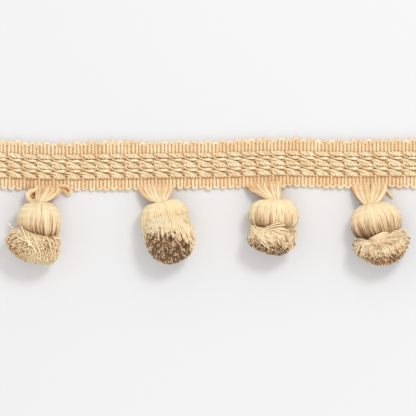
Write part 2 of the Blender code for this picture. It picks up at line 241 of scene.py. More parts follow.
# Spun cotton is matt, and in the ribs its twist shows most. The cord is smoother, and the roving is soft and
# hardly twisted. Viscose is smooth and shines a little along the thread, but not where it is cut.
spun_cotton_ribs = yarn_finish("spun_cotton_ribs", RIB_COLOURS, twist=2.6, groove_shade=0.5)
twisted_cotton_cord = yarn_finish("twisted_cotton_cord", CORD_COLOURS, twist=4.2, groove_shade=0.16)
soft_cotton_roving = yarn_finish("soft_cotton_roving", FAN_COLOURS, twist=14.0, groove_shade=0.16)
viscose_tassel_thread = yarn_finish(
    "viscose_tassel_thread", THREAD_COLOURS, twist=6.0, groove_shade=0.07, roughness=0.5, sheen=0.25)
viscose_cut_pile = yarn_finish(
    "viscose_cut_pile", PILE_COLOURS, twist=6.0, groove_shade=0.07, roughness=0.75, sheen=0.05)
print("yarn finishes ready")

# %% [markdown]
# Thousands of yarns would be slow to model one by one. A Blender curve object can hold them all as open
# lines, give each point its own thickness, and turn the lot into one closed mesh. The mesh keeps the order
# of the lines, so the tone and the distance along each yarn are written to it afterwards.

# %% A piece made of many yarns
def finished_mesh(bm, name):
    mesh = bpy.data.meshes.new(name)
    bm.to_mesh(mesh)
    bm.free()
    return mesh


def trim_piece(name, mesh, finish, replaces=()):
    """A finished piece of the trim, and the nodes that it stands for."""
    mesh.materials.clear()
    mesh.materials.append(finish)
    piece = bpy.data.objects.new(name, mesh)
    scene.collection.objects.link(piece)
    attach(piece, "root")
    if replaces:
        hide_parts(*replaces)
    return piece


def yarn_piece(name, finish, yarns, sides=4, replaces=()):
    """One mesh of many yarns. A yarn is a list of (x, y, z, radius, tone), in mm."""
    curve = bpy.data.curves.new(name + "_lines", "CURVE")
    curve.dimensions = "3D"
    curve.bevel_depth = 1.0
    curve.bevel_resolution = max(0, (sides - 4) // 2)
    curve.use_fill_caps = True
    outline = None
    if sides == 3:  # a round bevel has four sides at least, so three need an outline of their own
        section = bpy.data.curves.new("three_sided", "CURVE")
        ring = section.splines.new("POLY")
        ring.points.add(2)
        for k, point in enumerate(ring.points):
            point.co = (math.cos(math.tau * k / 3), math.sin(math.tau * k / 3), 0.0, 1.0)
        ring.use_cyclic_u = True
        outline = bpy.data.objects.new("three_sided", section)
        scene.collection.objects.link(outline)
        curve.bevel_mode = "OBJECT"
        curve.bevel_object = outline
    for yarn in yarns:
        points = np.array(yarn)
        line = curve.splines.new("POLY")
        line.points.add(len(yarn) - 1)
        places = np.ones((len(yarn), 4))
        places[:, :3] = (points[:, :3] + (0.0, FRAME_Y, 0.0)) * MM
        line.points.foreach_set("co", places.ravel())
        line.points.foreach_set("radius", points[:, 3] * MM)
    lines = bpy.data.objects.new(name + "_lines", curve)
    scene.collection.objects.link(lines)
    mesh = bpy.data.meshes.new_from_object(lines.evaluated_get(bpy.context.evaluated_depsgraph_get()))
    bpy.data.objects.remove(lines)
    if outline:
        bpy.data.objects.remove(outline)
    mesh.name = name
    write_yarn_values(mesh, yarns, sides)
    close_seams(mesh)
    triangles = sum(len(face.vertices) - 2 for face in mesh.polygons)
    print(f"{name}: {len(yarns)} yarns, {triangles} triangles")
    return trim_piece(name, mesh, finish, replaces)


def yarn_point(place, radius, tone):
    """A point of a yarn, kept above the surface that the trim lies on."""
    return (place.x, place.y, max(place.z, radius), radius, tone)


def write_yarn_values(mesh, yarns, sides):
    """Writes each yarn's tone and the mm along it to the points of its mesh."""
    tones, lengths, order, starts = [], [], [], []
    for yarn in yarns:
        starts.append(len(tones))
        points = np.array(yarn)
        steps = np.linalg.norm(np.diff(points[:, :3], axis=0), axis=1)
        tones.extend(points[:, 4])
        lengths.extend(np.concatenate(([0.0], np.cumsum(steps))))
    for start, yarn in zip(reversed(starts), reversed(yarns)):  # the caps come first, last yarn's first
        order.extend([start + len(yarn) - 1] * sides + [start] * sides)
    order.extend(np.repeat(np.arange(len(tones)), sides))
    if len(order) != len(mesh.vertices):
        raise ValueError(f"{mesh.name} has {len(mesh.vertices)} points, not {len(order)}")
    for name, values in (("tone", tones), ("along", lengths)):
        layer = mesh.attributes.new(name, "FLOAT", "POINT")
        layer.data.foreach_set("value", np.array(values)[order].astype(np.float32))


def close_seams(mesh):
    """Joins each cap to its yarn, so that every yarn is closed."""
    bm = bmesh.new()
    bm.from_mesh(mesh)
    bmesh.ops.remove_doubles(bm, verts=bm.verts, dist=1e-7)
    bmesh.ops.recalc_face_normals(bm, faces=bm.faces)
    for face in bm.faces:
        face.smooth = True
        if len(face.verts) != 4:  # a cut end
            for edge in face.edges:
                edge.smooth = False
    bm.to_mesh(mesh)
    bm.free()


# %% [markdown]
# The tape under everything is plain woven cotton. It is painted darker than the yarn on it, as painted
# shade for the gaps where it is seen. It is one flat sheet, a millimetre thick, that wanders a little as it
# lies. A grid is bent to that line and given its thickness, and its UV map is kept straight so that the weave
# follows the cloth.

# %% Woven ground finish and tape
TAPE_LOW, TAPE_HIGH = 0.35, 20.75
WARP_PITCH = 0.85  # real warps are about 0.4 mm apart, too fine to show, so they are drawn twice as coarse
# The tape's tan, painted darker as painted shade for the gaps between the yarns.
GROUND_COLOURS_WITH_GAP_SHADE = ((0.2, "#D09A68"), (0.6, "#E2B584"), (1.0, "#F2D0A2"))


def ground_finish():
    made, tree = new_finish("woven_cotton_ground")
    place = add_node(tree, "ShaderNodeUVMap", uv_map="UVMap")
    parts = add_node(tree, "ShaderNodeSeparateXYZ", {0: place})
    waves = []
    for socket, pitch in ((parts.outputs["X"], RIB_PITCH / 2), (parts.outputs["Y"], WARP_PITCH)):
        phase = add_node(tree, "ShaderNodeMath", {0: socket, 1: math.pi / pitch}, operation="MULTIPLY")
        wave = add_node(tree, "ShaderNodeMath", {0: phase}, operation="SINE")
        waves.append(add_node(tree, "ShaderNodeMath", {0: wave}, operation="ABSOLUTE"))
    weave = add_node(tree, "ShaderNodeMath", {0: waves[0], 1: waves[1]}, operation="MULTIPLY")
    blotch = add_node(tree, "ShaderNodeTexNoise", {"Vector": place, "Scale": 0.35, "Detail": 4.0})
    level = add_node(tree, "ShaderNodeMath", {0: weave, 1: 0.45, 2: blotch},
                     operation="MULTIPLY_ADD", use_clamp=True)
    colour = add_node(tree, "ShaderNodeValToRGB", {"Fac": level}, stops=GROUND_COLOURS_WITH_GAP_SHADE)
    relief = add_node(tree, "ShaderNodeBump", {"Height": weave, "Strength": 0.8, "Distance": 0.15 * MM})
    surface = add_node(tree, "ShaderNodeBsdfPrincipled", {
        "Base Color": colour, "Roughness": 0.8, "Sheen Weight": 0.2, "Normal": relief})
    add_node(tree, "ShaderNodeOutputMaterial", {"Surface": surface})
    return made


def ground_tape():
    bm = bmesh.new()
    bmesh.ops.create_grid(bm, x_segments=204, y_segments=12, size=1.0)
    flat = bm.loops.layers.uv.new("UVMap")
    for vert in bm.verts:
        vert.co.x *= HALF_LENGTH
        vert.co.y = mix(TAPE_LOW, TAPE_HIGH, (vert.co.y + 1) / 2)
    for face in bm.faces:
        for loop in face.loops:
            loop[flat].uv = loop.vert.co.xy
    drawn = bmesh.ops.extrude_face_region(bm, geom=bm.faces[:], use_keep_orig=True)["geom"]
    tops = [item for item in drawn if isinstance(item, bmesh.types.BMVert)]
    bmesh.ops.translate(bm, verts=tops, vec=(0.0, 0.0, TAPE_TOP))
    for vert in bm.verts:
        vert.co.y += wander(vert.co.x) + FRAME_Y
    bmesh.ops.scale(bm, verts=bm.verts, vec=(MM, MM, MM))
    bmesh.ops.recalc_face_normals(bm, faces=bm.faces)
    mesh = finished_mesh(bm, "ground_tape")
    return trim_piece("ground_tape", mesh, ground_finish(), replaces=("heading",))


tape = ground_tape()
print("ground tape:", len(tape.data.polygons), "faces")

# %% [markdown]
# The two margins of the heading are ribs of weft that turn back in small loops past each edge. A rib and
# its neighbour are one yarn in the shape of a hairpin: down, round and up again. The loops are never
# even, so each gets a little more or less reach. Fine warps cross the ribs and bind them.

# %% Hairpin ribs of both margins
RIB_RADIUS = 0.62
RIB_MIDDLE = 1.4
LOWER_SHIFT = 0.55  # the lower hairpins stand this much to the right of the upper ones
BARE_END = 1.4  # mm, at least, from the middle of a hairpin to the cut end of the trim
dice = random.Random(11)


def laid(x, y, z, radius, tone):
    """A point of the heading, carried along as the heading wanders."""
    return (x, y + wander(x), max(z, radius), radius, tone)


def hairpin(x, start, turn, edge, crown, spread, root_shade=0.25):
    """A yarn from the bed to the edge, round and back. Turn is where the bend starts."""
    half = RIB_PITCH / 2
    lift = dice.uniform(-0.08, 0.12)
    tone = dice.uniform(0.6, 0.88)
    mouth = mix(turn, edge, 0.68)
    # Painted shade: a hairpin is darker by root_shade where it starts under the bed, and a little lighter
    # round its loop.
    points = [(x - half, start, RIB_MIDDLE - 0.35, RIB_RADIUS * 0.9, tone - root_shade)]
    for side in (-1, 1):
        column = [
            (x + side * half, mix(start, turn, 0.3), RIB_MIDDLE, RIB_RADIUS, tone),
            (x + side * half * spread, turn, RIB_MIDDLE + lift, RIB_RADIUS, tone),
            (x + side * half * spread * 0.92, mouth, RIB_MIDDLE - 0.1, RIB_RADIUS * 1.05, tone + 0.05),
        ]
        if side == 1:
            points.append((x, edge, crown, RIB_RADIUS * 1.05, tone + 0.1))
            column.reverse()
        points.extend(column)
    points.append((x + half, start, RIB_MIDDLE - 0.35, RIB_RADIUS * 0.9, tone - root_shade))
    return [laid(*point) for point in smooth(points, 3)]


def edge_lump(x, reach, way=1):
    """The slack of a hairpin, crumpled up over the upper edge, or over the lower one where way is -1."""
    proud = max(0.0, dice.uniform(-0.6, 0.8)) + (0.7 if dice.random() < 0.12 else 0.0)
    tone = dice.uniform(0.55, 0.85)
    side = dice.choice((-1, 1))
    # The lump is painted darker at its ends, where they tuck under, as painted shade, and is lighter over its
    # top.
    points = [
        (-1.6, -1.0, 1.5, 0.42, -0.2), (-1.2, -0.35, 1.75, 0.52, 0.0),
        (-0.2, 0.1 + proud * 0.7, 1.9, 0.62, 0.1), (0.95, -0.1 + proud * 0.4, 1.8, 0.58, 0.0),
        (1.45, -0.75, 1.6, 0.46, -0.1), (0.6, -1.3, 1.5, 0.38, -0.25)]
    return [laid(x + side * dx, reach + way * dy, z, radius, tone + step)
            for dx, dy, z, radius, step in smooth(points, 2)]


# %% [markdown]
# Where a tassel hangs, the ribs of the lower margin don't turn back but run straight on into its fan. So the
# places of the tassels are set first. They are uneven, as tassels made by hand hang.

# %% Places of the tassels
# The fan's sides, the neck, the waist, and the way the bundle leaves the waist, in degrees turned to the
# right and tipped up.
TASSEL_COLUMNS = ("fan_left", "fan_right", "neck_x", "neck_y", "waist_x", "waist_y", "waist_z",
                  "turn", "pitch")
FAN_INSET = 0.7  # mm, at least, from a fan's side to the middle of a pair of ribs that runs into it
TASSELS = [SimpleNamespace(**dict(zip(TASSEL_COLUMNS, row))) for row in (
    (-85.5, -68.2, -78.6, -6.0, -78.2, -21.2, 8.6, -20.0, 6.0),
    (-32.3, -16.4, -22.2, -5.8, -19.8, -15.9, 6.5, 18.0, 27.0),
    (17.8, 34.2, 28.6, -5.6, 31.4, -19.7, 8.6, -4.0, 8.0),
    (67.1, 83.2, 74.4, -7.0, 78.2, -21.4, 8.6, 38.0, 6.0))]


def in_fan(x):
    return any(row.fan_left + FAN_INSET < x < row.fan_right - FAN_INSET for row in TASSELS)


print("necks:", [(row.neck_x, row.neck_y) for row in TASSELS], "mm")

# %% [markdown]
# The two margins are laid hairpin by hairpin along the edges, every second one a little longer. Both are
# drawn past the edge of the tape, which stays hidden below them.

# %% Ribs of the upper and the lower margin
# Where the hairpins start, where they turn and where the loops end, in mm from the heading's lower edge.
UPPER_START, UPPER_TURN, UPPER_EDGE = 15.9, 20.2, 21.1
LOWER_START, LOWER_TURN, LOWER_EDGE = 4.7, 0.9, -0.1
LUMP_SHARE = 0.6  # of the lower hairpins have a crumpled lump, and all of the upper ones
# A rib that runs on into a fan: y, z, radius and tone step. The steps darken it at both ends, where it
# dips under: painted shade.
FAN_RIB = ((4.7, 1.1, 0.5, -0.25), (3.6, 1.45, 0.56, 0.0), (2.2, 1.5, 0.56, 0.0), (0.9, 1.5, 0.56, 0.0),
           (0.1, 1.1, 0.45, -0.15))


def hairpin_places(shift=0.0):
    """The middle of each hairpin along an edge, and whether it is one of the longer ones."""
    for rib in range(0, RIB_COUNT, 2):
        x = FIRST_RIB + RIB_PITCH * (rib - 1) + RIB_PITCH / 2 + shift
        if abs(x) <= HALF_LENGTH - BARE_END:
            yield x, rib % 4 == 0


upper_ribs, lower_ribs = [], []
for x, longer in hairpin_places():
    reach = UPPER_EDGE + (0.3 if longer else -0.1) + dice.uniform(-0.35, 0.3)
    upper_ribs.append(hairpin(x + dice.uniform(-0.15, 0.15), UPPER_START, UPPER_TURN, reach, 1.2,
                              dice.uniform(0.9, 1.06)))
    upper_ribs.append(edge_lump(x + dice.uniform(-0.3, 0.3), reach))
for x, longer in hairpin_places(LOWER_SHIFT):
    if in_fan(x):
        for side in (-0.5, 0.5):
            tone = dice.uniform(0.5, 0.8)
            lower_ribs.append([laid(x + side * RIB_PITCH, y, z, radius, tone + step)
                               for y, z, radius, step in FAN_RIB])
        continue
    reach = LOWER_EDGE - (0.2 if longer else -0.2) + dice.uniform(-0.12, 0.12)
    # The lower hairpins start under the lowest row of knots and get more painted shade there.
    lower_ribs.append(hairpin(x + dice.uniform(-0.12, 0.12), LOWER_START, LOWER_TURN, reach, 0.95,
                              dice.uniform(0.88, 1.04), root_shade=0.55))
    if dice.random() < LUMP_SHARE:
        lower_ribs.append(edge_lump(x + dice.uniform(-0.3, 0.3), reach + 0.25, -1))
upper_margin = yarn_piece("upper_margin_ribs", spun_cotton_ribs, upper_ribs, sides=6)
lower_margin = yarn_piece("lower_margin_ribs", spun_cotton_ribs, lower_ribs, sides=6)

# %% [markdown]
# The warps of the margins are much finer than the ribs. Each dives between two ribs and comes up over
# the next, so it shows as a row of tiny stitches.

# %% Binding warps across the ribs
WARP_RADIUS = 0.17
WARP_END = 0.3  # mm, at least, from a warp's end to the cut end of the trim
UPPER_WARPS = (16.9, 17.8, 18.7, 19.6, 20.4)
LOWER_WARPS = (1.3, 2.2, 3.1, 4.0)


def binding_warp(y, shift, odd):
    points = []
    for rib in range(2 * RIB_COUNT):
        x = FIRST_RIB + RIB_PITCH * (rib / 2 - 1) + shift
        if abs(x) > HALF_LENGTH - WARP_END:
            continue
        over = rib % 4 == odd
        z = RIB_MIDDLE + RIB_RADIUS + 0.02 if over else TAPE_TOP + 0.02 if rib % 2 else RIB_MIDDLE - 0.1
        points.append(laid(x, y + dice.uniform(-0.06, 0.06), z, WARP_RADIUS, 0.6))
    return points


warps = [binding_warp(y, 0.0, 2 * (k % 2)) for k, y in enumerate(UPPER_WARPS)]
warps += [binding_warp(y, LOWER_SHIFT, 2 * (k % 2)) for k, y in enumerate(LOWER_WARPS)]
margin_warps = yarn_piece("margin_warps", spun_cotton_ribs, warps)

# %% [markdown]
# On the bed between the margins lie the decorative cords: three rows of knots, each a short length of
# thick yarn lashed round and round, and between them loose floats that come down out of the margin, turn
# to the right and dive under the next knot. All are drawn once for one repeat and laid again along the
# trim, with small differences as in hand-fed yarn. Thick warps fill the bed beneath them, painted dark as
# painted shade of the bed. The knots' cores and the floats' ends, where they dive, are painted darker too.

# %% Knots and floats
KNOT_ROWS = {"cord_row_1": 15.2, "cord_row_3": 10.55, "cord_row_5": 5.9}
KNOT_MIDDLE = 3.25  # mm from the rib at which the repeat starts
KNOT_HALF = 2.5
FIRST_REPEAT = 16.15 - 18 * REPEAT
REPEATS = 31
UNDER_SHADES = {"cord_row_5": 0.7}  # the underside of the lowest row lies in shade
STRANDS = 4
STRAND_LEAN = 0.52  # mm to the right from one of a strand's points to the next
# The core of a knot: x as a share of half its length, y, z and radius.
KNOT_CORE = ((-1.15, 0.1, 1.5, 0.3), (-0.8, 0.05, 2.0, 0.7), (0, 0, 2.25, 0.85), (0.8, -0.05, 2.0, 0.7),
             (1.15, -0.1, 1.5, 0.3))
# A strand over the core: y, z, radius and how much of the row's shade falls on it.
KNOT_STRAND = ((1.0, 1.5, 0.36, 0.0), (0.82, 2.4, 0.46, 0.0), (0.27, 2.86, 0.52, 0.0),
               (-0.35, 2.8, 0.52, 0.0), (-0.87, 2.2, 0.47, 0.35), (-1.05, 1.4, 0.36, 1.0))


def inside_length(yarn):
    return all(abs(point[0]) <= HALF_LENGTH - 0.02 for point in yarn)


def knot(x, y, under):
    """A short thick core and the strands lashed slantwise over it."""
    yarns = []
    size = dice.uniform(0.94, 1.05)
    # The core sits at the dark end of the cord's colours: painted shade in the gaps between the strands.
    yarns.append([(x + dx * KNOT_HALF, y + dy, z, r * size, 0.05) for dx, dy, z, r in KNOT_CORE])
    for k in range(STRANDS):
        place = (k - (STRANDS - 1) / 2) / ((STRANDS - 1) / 2)  # from -1 to 1
        fall = 1.0 - 0.22 * place * place
        middle = x + place * KNOT_HALF * 0.76 + dice.uniform(-0.12, 0.12)
        tone = dice.uniform(0.56, 0.9)
        strand = []
        for step, (dy, height, radius, shade) in enumerate(KNOT_STRAND):
            strand.append((middle + (step - 2.5) * STRAND_LEAN, y + dy * 0.98 * size * fall,
                           1.3 + (height - 1.3) * fall * size, radius, max(tone - shade * under, 0.0)))
        yarns.append(smooth(strand, 2))
    return yarns


def drawn_yarn(x, points, tone):
    """A float given as steps from the repeat's rib: (x, y, z, radius, tone step)."""
    jitter = [dice.uniform(-0.08, 0.08) for _ in range(3)]
    return smooth([(x + dx + jitter[0], y + jitter[1], z + jitter[2] * 0.5, r, tone + dt)
                   for dx, y, z, r, dt in points], 3)


# The tone steps darken each float where it dives under a knot or into the margin, as painted shade, and
# lighten it along its raised middle.
RIB_FLOAT = (
    (0.0, 20.2, 1.45, 0.5, -0.1), (0.0, 17.5, 1.5, 0.5, 0.0), (0.05, 15.9, 1.7, 0.5, 0.0),
    (0.2, 14.7, 2.0, 0.48, -0.1), (0.9, 13.75, 2.2, 0.46, -0.12), (2.1, 13.3, 2.3, 0.52, -0.1),
    (3.4, 13.2, 2.45, 0.64, 0.12), (4.8, 13.2, 2.4, 0.68, 0.27), (5.75, 13.1, 1.95, 0.5, -0.05),
    (6.2, 13.0, 1.3, 0.4, -0.3))
MIDDLE_FLOAT = (
    (-0.35, 12.0, 1.3, 0.4, -0.2), (0.0, 11.1, 1.9, 0.5, 0.0), (0.2, 10.1, 2.0, 0.5, 0.0),
    (0.9, 9.1, 2.15, 0.48, -0.12), (2.1, 8.6, 2.3, 0.52, -0.1), (3.4, 8.5, 2.45, 0.64, 0.12),
    (4.8, 8.5, 2.4, 0.68, 0.27), (5.8, 8.4, 1.95, 0.5, -0.05), (6.3, 8.3, 1.3, 0.4, -0.3))
UPPER_SLANT = (
    (-1.3, 12.35, 1.4, 0.35, -0.2), (-0.5, 12.45, 2.0, 0.54, 0.0), (0.7, 12.35, 2.35, 0.63, 0.05),
    (2.0, 12.05, 2.4, 0.58, 0.0), (3.4, 11.65, 2.2, 0.45, -0.05), (4.5, 11.4, 1.6, 0.35, -0.2))
LOWER_SLANT = [(dx + 0.3, y - 4.8, *rest) for dx, y, *rest in UPPER_SLANT]  # one row further down
LOWER_RIB = (
    (0.45, 7.0, 1.3, 0.4, -0.2), (0.5, 6.2, 1.7, 0.5, 0.0), (0.55, 4.8, 1.6, 0.5, 0.0),
    (0.55, 3.6, 1.4, 0.48, -0.1))

# The bed's warps are dark: painted shade of the bed under the cords.
BED_WARP_RADIUS, BED_WARP_TONE = 0.6, 0.3
BED_WARPS = (5.2, 6.6, 7.9, 9.2, 10.5, 11.8, 13.1, 14.4, 15.6)


def bed_warp(y):
    """One of the thick warps that fill the bed, from end to end."""
    count = 2 * RIB_COUNT
    return [laid(HALF_LENGTH * (2 * k / count - 1) * 0.999, y + dice.uniform(-0.08, 0.08),
                 1.45 + dice.uniform(-0.05, 0.05), BED_WARP_RADIUS, BED_WARP_TONE) for k in range(count + 1)]


bed_warps = yarn_piece("bed_warps", twisted_cotton_cord, [bed_warp(y) for y in BED_WARPS])

rows = {name: [] for name in ("cord_row_1", "cord_row_2", "cord_row_3", "cord_row_4", "cord_row_5")}
for repeat in range(REPEATS):
    x = FIRST_REPEAT + REPEAT * repeat
    for row, y in KNOT_ROWS.items():
        rows[row].extend(knot(x + KNOT_MIDDLE, y + dice.uniform(-0.1, 0.1), UNDER_SHADES.get(row, 0.0)))
    rows["cord_row_2"].append(drawn_yarn(x, RIB_FLOAT, dice.uniform(0.5, 0.7)))
    rows["cord_row_2"].append(drawn_yarn(x, UPPER_SLANT, dice.uniform(0.55, 0.7)))
    rows["cord_row_4"].append(drawn_yarn(x, MIDDLE_FLOAT, dice.uniform(0.5, 0.7)))
    rows["cord_row_4"].append(drawn_yarn(x, LOWER_SLANT, dice.uniform(0.55, 0.7)))
    rows["cord_row_5"].append(drawn_yarn(x, LOWER_RIB, dice.uniform(0.5, 0.65)))
for row, yarns in rows.items():
    kept = [[laid(*point) for point in yarn] for yarn in yarns if inside_length(yarn)]
    yarn_piece(row.replace("cord_row", "laid_cord"), twisted_cotton_cord, kept, sides=6,
               replaces=(row,))

# %% [markdown]
# A tassel is one bundle of thread. It leaves the heading as a fan, is gathered to a neck, swells to a head
# like an onion, is tied at the waist and ends in a cut, fluffed pompom. The head is a skein folded over
# itself, so its threads run from the neck over the widest part and in again to the waist, like the lines
# of a globe. No two heads are alike, so each has its own left and right side, drawn through a few places
# from neck to waist, and the threads are spread over the round body between those two lines.

# %% Places and directions of a tassel
NECK_HEIGHT = 7.6
# The left and the right side of each head, x and y, at eight places from neck to waist.
HEAD_SIDES = (
    ((-80.4, -6.9, -75.0, -6.7), (-84.0, -7.6, -72.0, -8.1), (-86.3, -9.2, -69.9, -10.5),
     (-87.8, -12.0, -68.7, -13.7), (-88.4, -15.4, -68.5, -16.7), (-87.9, -18.5, -68.8, -19.7),
     (-85.2, -21.3, -70.1, -22.0), (-79.0, -23.2, -72.9, -23.4)),
    ((-23.5, -7.4, -20.2, -6.2), (-27.2, -8.1, -16.0, -5.5), (-30.1, -10.4, -12.5, -6.7),
     (-31.1, -13.4, -10.2, -9.2), (-31.1, -17.4, -9.1, -12.3), (-30.2, -21.1, -8.8, -15.3),
     (-27.9, -24.3, -9.8, -18.8), (-22.3, -24.3, -15.8, -21.6)),
    ((28.1, -5.8, 33.7, -5.2), (24.6, -5.9, 37.2, -5.6), (21.6, -7.2, 39.5, -7.7),
     (19.8, -9.5, 41.1, -10.4), (19.0, -12.5, 41.8, -13.4), (19.2, -15.4, 41.6, -16.4),
     (20.7, -17.8, 38.2, -19.0), (24.6, -19.2, 29.4, -20.0)),
    ((72.0, -8.1, 78.0, -7.0), (69.5, -9.5, 81.3, -6.8), (67.6, -12.0, 84.5, -7.7),
     (66.4, -15.4, 87.3, -9.7), (66.4, -18.1, 89.1, -12.5), (67.3, -20.9, 89.6, -15.5),
     (69.7, -23.6, 89.2, -18.5), (74.8, -25.0, 82.7, -22.9)))
# The middle of the head above the surface and half its height, at the same places from neck to waist.
HEAD_HEIGHTS = (
    (7.6, 2.6), (8.7, 6.0), (9.4, 8.3), (9.6, 9.3), (9.5, 9.3), (9.2, 8.4), (8.9, 6.4), (8.6, 3.2))
LOW_HEAD_HEIGHTS = (
    (7.6, 2.6), (8.6, 6.0), (9.0, 7.9), (9.0, 8.3), (8.7, 8.0), (8.4, 7.2), (8.0, 6.0), (7.5, 3.2))


def across(axis):
    """Two directions square to an axis: sideways, and mostly upwards."""
    side = axis.cross(Vector((0, 0, 1))).normalized()
    return side, side.cross(axis).normalized()


def pointing(turn, pitch):
    """The direction straight away from the heading, turned to the right and tipped up by so many degrees."""
    turn, pitch = math.radians(turn), math.radians(pitch)
    return Vector((math.sin(turn) * math.cos(pitch), -math.cos(turn) * math.cos(pitch), math.sin(pitch)))


def tassel_frame(number, row):
    neck = Vector((row.neck_x, row.neck_y, NECK_HEIGHT))
    waist = Vector((row.waist_x, row.waist_y, row.waist_z))
    head_axis = (waist - neck).normalized()
    heights = LOW_HEAD_HEIGHTS if number == 2 else HEAD_HEIGHTS
    stations = [(*edges, *height) for edges, height in zip(HEAD_SIDES[number - 1], heights)]
    return SimpleNamespace(
        name=f"tassel_{number}", neck=neck, waist=waist, stations=smooth(stations, 3),
        dice=random.Random(100 + number),
        waist_axis=(head_axis + pointing(row.turn, row.pitch)).normalized())


def head_point(station, angle, proud=0.0):
    """A point of the head at one station, at an angle from its right side over its top."""
    left_x, left_y, right_x, right_y, middle_z, half_height = station
    half = Vector((right_x - left_x, right_y - left_y, 0.0)) / 2
    grown = 1 + proud / max(half.length, 1e-6)
    middle = Vector(((left_x + right_x) / 2, (left_y + right_y) / 2, middle_z))
    lift = Vector((0, 0, (half_height + proud) * math.sin(angle)))
    return middle + half * (grown * math.cos(angle)) + lift


places = [tassel_frame(number, row) for number, row in enumerate(TASSELS, 1)]
print("head widths:", [round(max(s[2] - s[0] for s in place.stations), 1) for place in places], "mm")

# %% [markdown]
# At the top of a head the threads lie smooth and close. Lower down the tie pulls them together, and they
# part into locks with dark folds between them. So each head gets folds at uneven places, which start high or
# low and deepen towards the waist: threads near a fold sink into it and are painted darker, as painted shade.
# Painted shade also darkens the threads towards the waist, most on the left side, away from the light, and a
# little right at the neck. Some threads are streaks that darken on their way down. How much painted shade a
# waist and its folds get differs from head to head. A smooth core fills the body under the threads, a little
# darker than they are: painted shade of the depths between them.

# %% Onion heads
HEAD_THREADS = 300
HEAD_RADIUS = 0.3  # real thread is about 0.3 mm thick, too fine to show, so it is drawn twice as thick
HEAD_FOLDS = 58
STREAK_SHADES = (0.0, 0.0, 0.1, 0.3)  # each as likely as the others
# How much painted shade darkens each head at its waist and in its folds.
WAIST_SHADES = (0.34, 0.0, 0.24, 0.4)
FOLD_SHADES = (0.44, 0.22, 0.34, 0.44)
CORE_COLUMNS, CORE_RINGS = 28, 16
CORE_SHARE = 0.955  # of the way from the head's middle to its threads
# The core is darker than the threads: painted shade of the depths seen between them.
HEAD_CORE_TONE = 0.62


def head_threads(place, shade_at_waist, shade_in_folds):
    roll = place.dice
    folds = [(math.tau * (k + roll.uniform(-0.6, 0.6)) / HEAD_FOLDS, roll.uniform(0.014, 0.044),
              roll.uniform(0.15, 0.6), roll.uniform(0.2, 1.0)) for k in range(HEAD_FOLDS)]
    stations = place.stations
    yarns = []
    for k in range(HEAD_THREADS):
        angle = math.tau * (k + roll.uniform(-0.35, 0.35)) / HEAD_THREADS
        level = roll.uniform(-0.22, 0.06)
        tone = 0.84 + roll.uniform(-0.2, 0.14)
        swing, wave = roll.uniform(-0.035, 0.035), roll.uniform(1.5, 4.0)
        streak = roll.choice(STREAK_SHADES)
        yarn = []
        for n, station in enumerate(stations):
            share = n / (len(stations) - 1)
            sink, slide = 0.0, swing * math.sin(wave * share * math.pi)
            for fold_angle, spread, start, depth in folds:
                off = math.remainder(angle - fold_angle, math.tau) / spread
                pull = depth * ease((share - start) / 0.35)
                sink += pull * math.exp(-off * off)
                slide += 0.25 * spread * pull * off * math.exp(-off * off / 3)
            point = head_point(station, angle + slide, level - 0.75 * sink)
            # Painted shade towards the waist, most on the left, away from the light, and down each streak.
            waist_shade = (shade_at_waist * (1 - 0.4 * math.cos(angle)) * ease((share - 0.4) / 0.5)
                           + streak * ease((share - 0.25) / 0.4))
            # Painted shade in the folds, and a little right at the neck.
            shade = tone - shade_in_folds * sink - waist_shade - 0.12 * ease((0.12 - share) / 0.12)
            yarn.append(yarn_point(point, HEAD_RADIUS, max(shade, 0.05)))
        yarns.append(yarn)
    return yarns


def packed_core(name, place_of, tone):
    """A closed body of packed thread: a sphere whose points are moved to where place_of puts them."""
    bm = bmesh.new()
    bmesh.ops.create_uvsphere(bm, u_segments=CORE_COLUMNS, v_segments=CORE_RINGS, radius=1.0)
    for vert in bm.verts:
        point = place_of(vert.co.copy())
        vert.co = (point.x * MM, (point.y + FRAME_Y) * MM, max(point.z, 0.1) * MM)
    bmesh.ops.recalc_face_normals(bm, faces=bm.faces)
    mesh = finished_mesh(bm, name)
    mesh.shade_smooth()
    layer = mesh.attributes.new("tone", "FLOAT", "POINT")
    layer.data.foreach_set("value", np.full(len(mesh.vertices), tone, np.float32))
    trim_piece(name, mesh, viscose_tassel_thread)


def head_core(name, place):
    table = np.array(place.stations)

    def place_of(way):
        share = math.acos(min(max(way.z, -1.0), 1.0)) / math.pi
        station = [np.interp(share * (len(table) - 1), range(len(table)), column) for column in table.T]
        size = CORE_SHARE * ease(share * 12) * ease((1 - share) * 12)
        middle = head_point(station, 0.0).lerp(head_point(station, math.pi), 0.5)
        return middle.lerp(head_point(station, math.atan2(way.y, way.x)), size)
    packed_core(name, place_of, HEAD_CORE_TONE)


for place, waist_shade, fold_shade in zip(places, WAIST_SHADES, FOLD_SHADES):
    head_core(f"{place.name}_head_core", place)
    yarn_piece(f"{place.name}_head", viscose_tassel_thread,
               head_threads(place, waist_shade, fold_shade), replaces=(f"{place.name}_bundle",))
